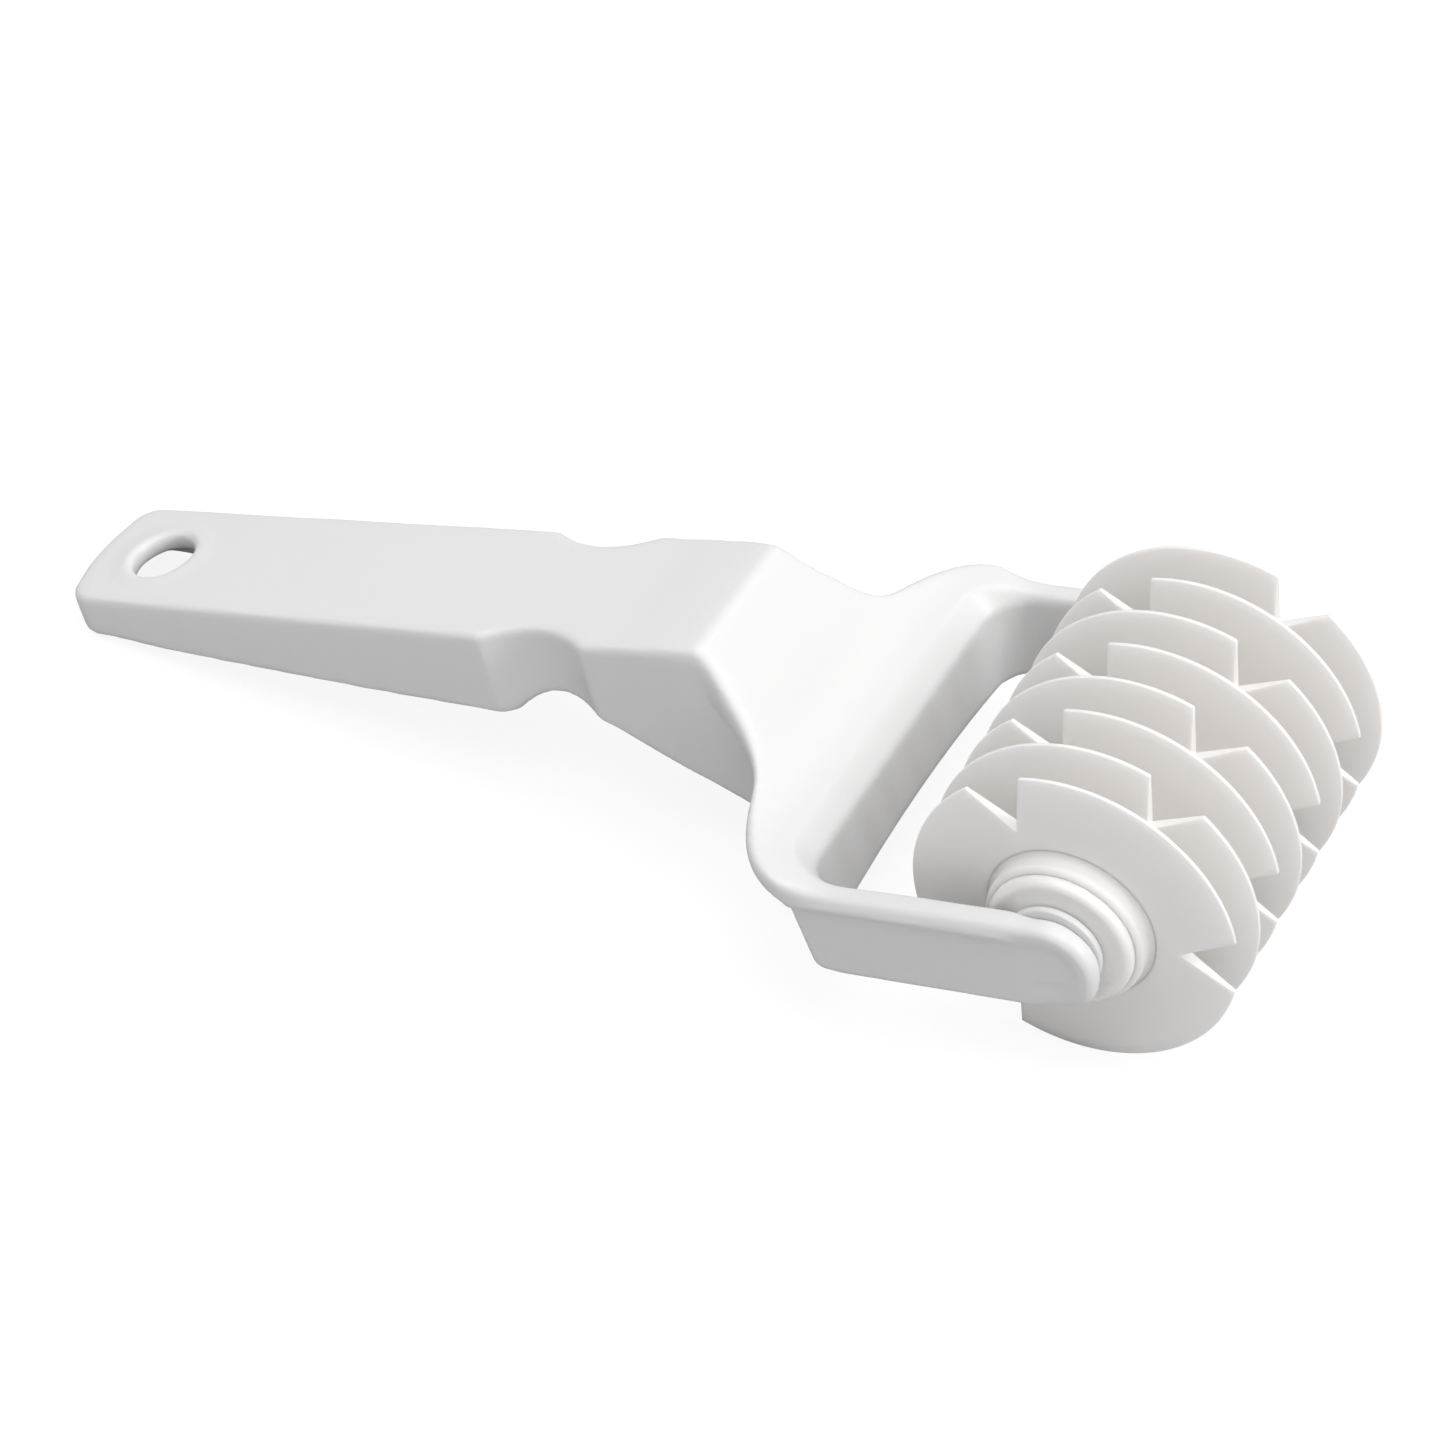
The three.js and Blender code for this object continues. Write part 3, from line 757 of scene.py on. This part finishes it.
def disc_stack_tree():
    """One sector of a disc, repeated round the axle, and the disc repeated along it."""
    tree, size = new_tree("disc_stack", {
        "Radius": "Float", "Bore": "Float", "Hub": "Float", "Rim": "Float", "Notches": "Int",
        "Notch depth": "Float", "Notch angle": "Float", "Discs": "Int", "Pitch": "Float",
        "Place": "Vector", "Turn": "Vector", "Material": "Material",
    })
    grid = node(tree, "GeometryNodeMeshGrid")
    feed(tree, grid.inputs["Size X"], 1.0)
    feed(tree, grid.inputs["Size Y"], 1.0)
    feed(tree, grid.inputs["Vertices X"], SECTOR_STEPS + 1)
    feed(tree, grid.inputs["Vertices Y"], 2 * FACE_RINGS + 1)
    where = node(tree, "ShaderNodeSeparateXYZ")
    feed(tree, where.inputs[0], node(tree, "GeometryNodeInputPosition").outputs[0])

    # Out over the front face and back over the other: share runs from 0 at the bore to 1 at the rim
    last = FACE_RINGS - 0.5
    row = calc(tree, "MULTIPLY", calc(tree, "ADD", where.outputs["Y"], 0.5), 2.0 * FACE_RINGS)
    row = calc(tree, "MODULO", calc(tree, "ROUND", row), 2.0 * FACE_RINGS)
    from_edge = calc(tree, "SUBTRACT", last, row)
    share = calc(tree, "SUBTRACT", last, calc(tree, "ABSOLUTE", from_edge))
    share = calc(tree, "DIVIDE", share, FACE_RINGS - 1.0)
    side = calc(tree, "SIGN", from_edge)

    # Round the axle from the middle of one notch to the middle of the next
    half = calc(tree, "DIVIDE", size["Notch angle"], 2.0)
    root = calc(tree, "SUBTRACT", size["Radius"], size["Notch depth"])
    reach = calc(tree, "MULTIPLY", root, calc(tree, "SINE", half))
    rim_angle = calc(tree, "ARCSINE", calc(tree, "DIVIDE", reach, size["Radius"]))
    flank = calc(tree, "SUBTRACT", half, rim_angle)
    half_sector = calc(tree, "DIVIDE", math.pi, size["Notches"])
    across = calc(tree, "MULTIPLY", where.outputs["X"], 2.0)
    from_notch = calc(tree, "SUBTRACT", 1.0, calc(tree, "ABSOLUTE", across))
    half_rim_arc = calc(tree, "SUBTRACT", half_sector, flank)
    rim_turn = ramp(tree, from_notch, FLANK_SHARE, 1.0, 0.0, half_rim_arc)
    flank_turn = ramp(tree, from_notch, 0.0, FLANK_SHARE, 0.0, flank)
    beside = calc(tree, "SUBTRACT", half_sector, calc(tree, "ADD", flank_turn, rim_turn))
    angle = calc(tree, "MULTIPLY_ADD", calc(tree, "SIGN", across), beside, half_sector)

    # The notch's flanks and the rim give the outline, and the blade thins from the notch's root outwards
    slant = calc(tree, "SINE", calc(tree, "SUBTRACT", half, flank_turn))
    outline = calc(tree, "DIVIDE", reach, slant)
    hub_part = ramp(tree, share, 0.0, HUB_SHARE, size["Bore"], root)
    blade_part = ramp(tree, share, HUB_SHARE, 1.0, 0.0, calc(tree, "SUBTRACT", outline, root))
    radius = calc(tree, "ADD", hub_part, blade_part)
    half_hub = calc(tree, "DIVIDE", size["Hub"], 2.0)
    half_rim = calc(tree, "DIVIDE", size["Rim"], 2.0)
    thickness = ramp(tree, radius, root, size["Radius"], half_hub, half_rim)
    shaped = node(tree, "GeometryNodeSetPosition")
    feed(tree, shaped.inputs["Geometry"], grid.outputs["Mesh"])
    feed(tree, shaped.inputs["Position"], point(
        tree,
        calc(tree, "MULTIPLY", radius, calc(tree, "COSINE", angle)),
        calc(tree, "MULTIPLY", side, thickness),
        calc(tree, "MULTIPLY", radius, calc(tree, "SINE", angle)),
    ))

    index = node(tree, "GeometryNodeInputIndex").outputs[0]
    sector_turn = calc(tree, "MULTIPLY", index, calc(tree, "MULTIPLY", half_sector, 2.0))
    turn = point(tree, 0.0, sector_turn, 0.0)
    disc = copies(tree, shaped.outputs["Geometry"], size["Notches"], (0.0, 0.0, 0.0), turn)
    welded = node(tree, "GeometryNodeMergeByDistance")
    feed(tree, welded.inputs["Geometry"], disc)
    feed(tree, welded.inputs["Distance"], WELD)
    other_turn = calc(tree, "MULTIPLY", calc(tree, "MODULO", index, 2.0), half_sector)
    turn = point(tree, 0.0, other_turn, 0.0)
    step = point(tree, 0.0, size["Pitch"], 0.0)
    stack = copies(tree, welded.outputs["Geometry"], size["Discs"], step, turn)
    return finish_tree(tree, stack, size["Place"], size["Turn"], size["Material"])


DISC_STACK = disc_stack_tree()
print("disc tree:", len(DISC_STACK.nodes), "nodes")

# %% Make the discs
DISC_RIM = 0.6 * MM
KEY_BORE = 6.2 * MM
NOTCH_COUNT = 3
NOTCH_DEPTH = 8.5 * MM
NOTCH_ANGLE = math.radians(60)
FIRST_NOTCH = math.radians(121.593)

discs = made_by(DISC_STACK, "cutter_discs", {
    "Radius": DISC_RADIUS,
    "Bore": KEY_BORE,
    "Hub": DISC_HUB,
    "Rim": DISC_RIM,
    "Notches": NOTCH_COUNT,
    "Notch depth": NOTCH_DEPTH,
    "Notch angle": NOTCH_ANGLE,
    "Discs": DISC_COUNT,
    "Pitch": DISC_PITCH,
    "Place": Vector((AXLE.x, middle(DISC_NAMES[0]).y, AXLE.z)),
    "Turn": Euler((0, -FIRST_NOTCH, 0)),
    "Material": ROLLER_WHITE,
})
print("disc faces:", len(discs.data.polygons))

# %% [markdown]
# ## Rounded blade edges
# The tree gives the discs sharp edges. Real blades of moulded plastic have a small round on every edge,
# and it is this round that catches the light as a bright line. A Bevel modifier adds it where faces
# meet steeply.

# %% Round the blades
def rounded(piece, width, segments, angle):
    """Rounds a piece's steep edges and shades the rest of it smooth."""
    bevel = piece.modifiers.new("round", "BEVEL")
    bevel.width = width
    bevel.segments = segments
    bevel.limit_method = "ANGLE"
    bevel.angle_limit = angle
    settled(piece)
    shade_smooth(piece, angle)
    return piece


BLADE_ROUND = 0.18 * MM
BLADE_SEGMENTS = 2
STEEP = math.radians(35)
outward(discs)
rounded(discs, BLADE_ROUND, BLADE_SEGMENTS, STEEP)
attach(discs, "roller")
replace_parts(discs, *DISC_NAMES)

# %% [markdown]
# ## Spacers, flanges and caps
# Between the discs sit plain sleeves, and at each end a wide flange and a rounded cap. All of them are
# rings: a section swept round the axle. One tree makes them all. The section is a rectangle with round
# corners, and its root goes into the piece behind it, so that no groove shows there. After the sweep,
# two rules shape it further: a fillet where the flange meets the disc, and a dish in the cap's face
# between its rim and the fork's boss. Every second copy is turned end for end, so that a pair faces
# outwards on both sides.

# %% Tree for rings
RING_STEPS = 144
CORNER_STEPS = 6
SECTION_STEPS = 90


def ring_tree():
    """A rounded section swept round the axle, shaped further, and repeated along it."""
    tree, size = new_tree("rings", {
        "Outer": "Float", "Bore": "Float", "Thickness": "Float", "Round": "Float", "Root": "Float",
        "Fillet": "Float", "Dish": "Float", "Dish inner": "Float", "Dish outer": "Float",
        "Count": "Int", "Pitch": "Float", "Place": "Vector", "Material": "Material",
    })
    section = node(tree, "GeometryNodeCurvePrimitiveQuadrilateral")
    feed(tree, section.inputs["Width"], calc(tree, "SUBTRACT", size["Outer"], size["Bore"]))
    feed(tree, section.inputs["Height"], calc(tree, "ADD", size["Thickness"], size["Root"]))
    fillet = node(tree, "GeometryNodeFilletCurve", mode="POLY")
    feed(tree, fillet.inputs["Curve"], section.outputs["Curve"])
    feed(tree, fillet.inputs["Count"], CORNER_STEPS)
    feed(tree, fillet.inputs["Radius"], size["Round"])
    even = node(tree, "GeometryNodeResampleCurve")
    feed(tree, even.inputs["Curve"], fillet.outputs["Curve"])
    feed(tree, even.inputs["Count"], SECTION_STEPS)
    rail = node(tree, "GeometryNodeCurvePrimitiveCircle", mode="RADIUS")
    feed(tree, rail.inputs["Resolution"], RING_STEPS)
    middle_radius = calc(tree, "DIVIDE", calc(tree, "ADD", size["Outer"], size["Bore"]), 2.0)
    feed(tree, rail.inputs["Radius"], middle_radius)
    swept = node(tree, "GeometryNodeCurveToMesh")
    feed(tree, swept.inputs["Curve"], rail.outputs["Curve"])
    feed(tree, swept.inputs["Profile Curve"], even.outputs["Curve"])
    upright = node(tree, "GeometryNodeTransform")
    feed(tree, upright.inputs["Geometry"], swept.outputs["Mesh"])
    feed(tree, upright.inputs["Rotation"], Euler((math.pi / 2, 0, 0)))
    half_root = calc(tree, "DIVIDE", size["Root"], 2.0)
    feed(tree, upright.inputs["Translation"], point(tree, 0.0, half_root, 0.0))

    # The face looks towards -Y and the base towards +Y
    where = node(tree, "ShaderNodeSeparateXYZ")
    feed(tree, where.inputs[0], node(tree, "GeometryNodeInputPosition").outputs[0])
    x, y, z = (where.outputs[axis] for axis in "XYZ")
    x_squared = calc(tree, "MULTIPLY", x, x)
    z_squared = calc(tree, "MULTIPLY", z, z)
    radius = calc(tree, "SQRT", calc(tree, "ADD", x_squared, z_squared))
    half = calc(tree, "DIVIDE", size["Thickness"], 2.0)
    above_base = calc(tree, "SUBTRACT", half, y)
    near_base = ramp(tree, above_base, 0.0, size["Fillet"], 1.0, 0.0)
    near_squared = calc(tree, "MULTIPLY", near_base, near_base)
    arc = calc(tree, "SQRT", calc(tree, "SUBTRACT", 1.0, near_squared))
    outside = calc(tree, "GREATER_THAN", radius, middle_radius)
    spread = calc(tree, "MULTIPLY", calc(tree, "SUBTRACT", 1.0, arc), outside)
    grown = calc(tree, "MULTIPLY_ADD", spread, calc(tree, "DIVIDE", size["Fillet"], radius), 1.0)
    across = ramp(tree, radius, size["Dish inner"], size["Dish outer"], 0.0, math.pi)
    on_face = calc(tree, "LESS_THAN", y, 0.0)
    wave = calc(tree, "MULTIPLY", calc(tree, "SINE", across), on_face)
    hollow = calc(tree, "MULTIPLY", wave, size["Dish"])
    shaped = node(tree, "GeometryNodeSetPosition")
    feed(tree, shaped.inputs["Geometry"], upright.outputs["Geometry"])
    feed(tree, shaped.inputs["Position"], point(
        tree,
        calc(tree, "MULTIPLY", x, grown),
        calc(tree, "ADD", y, hollow),
        calc(tree, "MULTIPLY", z, grown),
    ))

    index = node(tree, "GeometryNodeInputIndex").outputs[0]
    turn = point(tree, 0.0, 0.0, calc(tree, "MULTIPLY", index, math.pi))
    step = point(tree, 0.0, size["Pitch"], 0.0)
    row = copies(tree, shaped.outputs["Geometry"], size["Count"], step, turn)
    return finish_tree(tree, row, size["Place"], (0.0, 0.0, 0.0), size["Material"])


RINGS = ring_tree()
print("ring tree:", len(RINGS.nodes), "nodes")

# %% Make the rings
# A plain ring has no root, fillet or dish, and its dish's limits only have to differ
PLAIN_RING = {"Root": 0.0, "Fillet": 0.0, "Dish": 0.0, "Dish inner": 0.0, "Dish outer": 1.0 * MM}


def ring_row(name, sizes, body):
    """A row of rings of the given sizes, as one piece that rides on a body."""
    piece = made_by(RINGS, name, {**PLAIN_RING, **sizes})
    outward(piece)
    shade_smooth(piece, STEEP)
    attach(piece, body)
    return piece


def roller_rings(name, nodes, bore, edge, **shape):
    """Rings that stand for the given CAD nodes, from the first node to the last."""
    first, last = middle(nodes[0]), middle(nodes[-1])
    sizes = {
        "Outer": extent(nodes[0], 0) / 2 - shape.get("Fillet", 0),
        "Bore": bore,
        "Thickness": extent(nodes[0], 1),
        "Round": edge,
        "Count": len(nodes),
        "Pitch": (last.y - first.y) / (len(nodes) - 1),
        "Place": Vector((AXLE.x, first.y, AXLE.z)),
        "Material": ROLLER_WHITE,
    }
    for label, value in shape.items():
        sizes[label.replace("_", " ")] = value
    piece = ring_row(name, sizes, "roller")
    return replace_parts(piece, *nodes)


JOURNAL_BORE = 3.6 * MM
SPACER_EDGE = 0.2 * MM
FLANGE_EDGE = 0.95 * MM
FLANGE_FILLET = 0.8 * MM
CAP_EDGE = 1.1 * MM
CAP_DISH = 0.35 * MM
DISH_INNER = 7.0 * MM
DISH_OUTER = 10.1 * MM
roller_rings("spacers", SPACER_NAMES, KEY_BORE, SPACER_EDGE)
roller_rings(
    "end_flanges", ["end_flange_near", "end_flange_far"], KEY_BORE, FLANGE_EDGE,
    Root=FLANGE_EDGE, Fillet=FLANGE_FILLET,
)
roller_rings(
    "end_caps", ["end_cap_near", "end_cap_far"], JOURNAL_BORE, CAP_EDGE,
    Root=CAP_EDGE, Dish=CAP_DISH, Dish_inner=DISH_INNER, Dish_outer=DISH_OUTER,
)

# %% [markdown]
# ## Bosses on the arms
# Each arm carries a low round boss that keeps the roller's cap off the arm. It is a ring of the same
# kind, in the handle's plastic. Its root goes into the arm, and where the arm's end rounds away its rim
# shows as a narrow crescent beside the cap. The first boss is the far one, because a ring's face looks
# towards -Y.

# %% Make the bosses
BOSS_RADIUS = 7.3 * MM
BOSS_FACE = 33.25 * MM
BOSS_ROOT = 0.4 * MM
BOSS_EDGE = 0.3 * MM
BOSS_MIDDLE = (BOSS_FACE + ARM_INNER) / 2
ring_row("arm_bosses", {
    "Outer": BOSS_RADIUS,
    "Bore": JOURNAL_BORE,
    "Thickness": ARM_INNER - BOSS_FACE,
    "Round": BOSS_EDGE,
    "Root": BOSS_ROOT,
    "Count": 2,
    "Pitch": -2 * BOSS_MIDDLE,
    "Place": Vector((AXLE.x, BOSS_MIDDLE, AXLE.z)),
    "Material": HANDLE_WHITE,
}, "handle")

# %% [markdown]
# ## Axle
# The axle is hidden inside the roller apart from a sliver at each end, so the CAD solid stays. It only
# needs the roller's plastic.

# %% Paint the axle
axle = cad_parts["axle"]
axle.data.materials.clear()
axle.data.materials.append(ROLLER_WHITE)
print("axle length in mm:", round(extent("axle", 1) / MM, 1))

# %% [markdown]
# ## Floor and light
# The photograph has a white ground with hardly a shadow, and soft light from above and from the
# roller's side. The floor is a wide pale disc. It glows a little towards the camera alone, so that it
# looks white and its shadows stay faint, while the light that it throws back under the tool stays that
# of a plain pale floor. A large softbox hangs overhead, and a smaller one stands high in front of the
# roller, a little towards its far side, from where it shines in between the discs. The world fills the
# shadows, more from the front than from behind, and looks white to the camera, as the floor does. The
# handle's near side faces neither box, so it stays a soft grey.

# %% Floor
FLOOR_RADIUS = 6.0
FLOOR_CORNERS = 96
FLOOR_GAP = 0.02 * MM
FLOOR_ROUGHNESS = 0.9
FLOOR_PALE = 0.5
FLOOR_SEEN = 0.16
FLOOR_GLOW = 0.88
WHITE = (1, 1, 1, 1)


def floor_material():
    """Plain and pale, but darker and glowing to the camera's own rays."""
    material = bpy.data.materials.new("floor_pale")
    material.use_nodes = True
    tree = material.node_tree
    shader = found(tree, "BSDF_PRINCIPLED")
    feed(tree, shader.inputs["Roughness"], FLOOR_ROUGHNESS)
    feed(tree, shader.inputs["Specular IOR Level"], 0.0)
    feed(tree, shader.inputs["Emission Color"], WHITE)
    seen = node(tree, "ShaderNodeLightPath").outputs["Is Camera Ray"]
    pale = calc(tree, "MULTIPLY_ADD", seen, FLOOR_SEEN - FLOOR_PALE, FLOOR_PALE)
    feed(tree, shader.inputs["Base Color"], pale)
    feed(tree, shader.inputs["Emission Strength"], calc(tree, "MULTIPLY", seen, FLOOR_GLOW))
    return material


floor_mesh = bpy.data.meshes.new("floor")
work = bmesh.new()
bmesh.ops.create_circle(work, cap_ends=True, radius=FLOOR_RADIUS, segments=FLOOR_CORNERS)
work.to_mesh(floor_mesh)
work.free()
floor_mesh.materials.append(floor_material())
floor = link("floor", floor_mesh)
floor.location.z = cad_low.z - FLOOR_GAP
print("floor radius in m:", FLOOR_RADIUS)

# %% Softboxes
OVERHEAD_PLACE = (0.0, 0.0, 1.3)
OVERHEAD_SIZE = 1.4
OVERHEAD_POWER = 8.6
FRONT_PLACE = (1.27, 0.22, 0.95)
FRONT_SIZE = 0.6
FRONT_POWER = 7.8


def softbox(name, place, aim, size, power):
    """A round area light that points at an aim."""
    data = bpy.data.lights.new(name, "AREA")
    data.shape = "DISK"
    data.size = size
    data.energy = power
    lamp = link(name, data)
    lamp.location = place
    lamp.rotation_euler = (Vector(aim) - Vector(place)).to_track_quat("-Z", "Y").to_euler()
    return lamp


centre = (cad_low + cad_high) / 2
softbox("softbox_overhead", OVERHEAD_PLACE, centre, OVERHEAD_SIZE, OVERHEAD_POWER)
softbox("softbox_front", FRONT_PLACE, centre, FRONT_SIZE, FRONT_POWER)
print("lights:", [lamp.name for lamp in bpy.data.lights])

# %% World
WORLD_STRENGTH = 0.585
WORLD_LEAN = 0.35
WORLD_SEEN = 1.0

world = bpy.data.worlds.new("world")
world.use_nodes = True
sky_tree = world.node_tree
sky = found(sky_tree, "BACKGROUND")
feed(sky_tree, sky.inputs["Color"], WHITE)
looking = node(sky_tree, "ShaderNodeSeparateXYZ")
feed(sky_tree, looking.inputs[0], node(sky_tree, "ShaderNodeTexCoord").outputs["Generated"])
lean_strength = WORLD_STRENGTH * WORLD_LEAN
lean = calc(sky_tree, "MULTIPLY_ADD", looking.outputs["X"], lean_strength, WORLD_STRENGTH)
seen = node(sky_tree, "ShaderNodeLightPath").outputs["Is Camera Ray"]
strength = calc(sky_tree, "MULTIPLY_ADD", seen, calc(sky_tree, "SUBTRACT", WORLD_SEEN, lean), lean)
feed(sky_tree, sky.inputs["Strength"], strength)
bpy.context.scene.world = world
# The Standard view keeps white as white, as the photograph's ground is
bpy.context.scene.view_settings.view_transform = "Standard"
print("world strength:", WORLD_STRENGTH, "and to the camera:", WORLD_SEEN)
